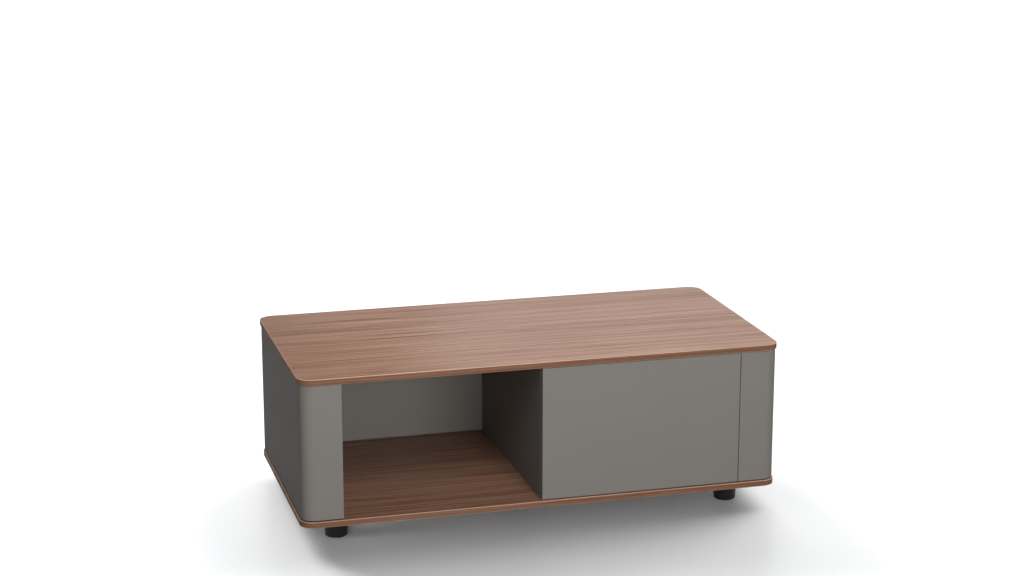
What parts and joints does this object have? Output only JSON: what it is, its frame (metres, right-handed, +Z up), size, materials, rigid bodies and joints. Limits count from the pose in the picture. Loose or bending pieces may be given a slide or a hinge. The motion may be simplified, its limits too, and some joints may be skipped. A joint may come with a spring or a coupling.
{
  "type": "coffee table",
  "caption": "Rectangular coffee table with wood top and base panels, rounded lacquered ends, an open compartment, a push-to-open drawer and round feet.",
  "frame": {"origin": "on the floor, under the middle of the table", "axes": "+X along the length with the drawer on the +X half, +Y towards the back panel, +Z up"},
  "size_m": [1.2, 0.6, 0.425],
  "materials": {
    "walnut_veneer": "satin lacquered walnut veneer, grain along the length",
    "grey_lacquer": "satin warm grey lacquer on board",
    "black_plastic": "satin moulded",
    "dark_felt": "pressed felt",
    "zinc_steel": "zinc plated",
    "beech": "plain turned beech",
    "birch_plywood": "clear lacquered birch plywood"
  },
  "bodies": {
    "carcass": {"top_panel": "walnut_veneer", "base_panel": "walnut_veneer", "left_shell": "grey_lacquer", "right_shell": "grey_lacquer", "left_side_board": "grey_lacquer", "right_side_board": "grey_lacquer", "centre_divider": "grey_lacquer", "back_panel": "grey_lacquer", "foot_centre": "black_plastic", "foot_front_left": "black_plastic", "foot_front_right": "black_plastic", "foot_rear_left": "black_plastic", "foot_rear_right": "black_plastic", "foot_pad_centre": "dark_felt", "foot_pad_front_left": "dark_felt", "foot_pad_front_right": "dark_felt", "foot_pad_rear_left": "dark_felt", "foot_pad_rear_right": "dark_felt", "top_dowel_1": "beech", "top_dowel_2": "beech", "top_dowel_3": "beech", "top_dowel_4": "beech", "top_dowel_5": "beech", "top_dowel_6": "beech", "base_screw_1": "zinc_steel", "base_screw_2": "zinc_steel", "base_screw_3": "zinc_steel", "base_screw_4": "zinc_steel", "base_screw_5": "zinc_steel", "base_screw_6": "zinc_steel", "left_cabinet_rail": "zinc_steel", "left_cabinet_rail_screw_1": "zinc_steel", "left_cabinet_rail_screw_2": "zinc_steel", "right_cabinet_rail": "zinc_steel", "right_cabinet_rail_screw_1": "zinc_steel", "right_cabinet_rail_screw_2": "zinc_steel", "left_ejector": "black_plastic", "right_ejector": "black_plastic"},
    "drawer": {"drawer_front": "grey_lacquer", "drawer_inner_front": "birch_plywood", "drawer_side_left": "birch_plywood", "drawer_side_right": "birch_plywood", "drawer_back": "birch_plywood", "drawer_bottom": "birch_plywood", "drawer_front_screw_1": "zinc_steel", "drawer_front_screw_2": "zinc_steel", "drawer_front_screw_3": "zinc_steel", "drawer_front_screw_4": "zinc_steel", "left_drawer_rail": "zinc_steel", "left_drawer_rail_screw_1": "zinc_steel", "left_drawer_rail_screw_2": "zinc_steel", "right_drawer_rail": "zinc_steel", "right_drawer_rail_screw_1": "zinc_steel", "right_drawer_rail_screw_2": "zinc_steel"},
    "left_middle": {"left_middle_rail": "zinc_steel"},
    "right_middle": {"right_middle_rail": "zinc_steel"}
  },
  "joints": [
    {"name": "drawer_slide", "type": "slide", "parent": "carcass", "child": "drawer", "axis": [0, -1, 0], "range_m": [-0.002, 0.48]},
    {"name": "left_middle_slide", "type": "slide", "parent": "carcass", "child": "left_middle", "axis": [0, -1, 0], "range_m": [-0.001, 0.24]},
    {"name": "right_middle_slide", "type": "slide", "parent": "carcass", "child": "right_middle", "axis": [0, -1, 0], "range_m": [-0.001, 0.24]}
  ],
  "couplings": [
    {"joint": "left_middle_slide", "follows": "drawer_slide", "ratio": 0.5},
    {"joint": "right_middle_slide", "follows": "drawer_slide", "ratio": 0.5}
  ]
}
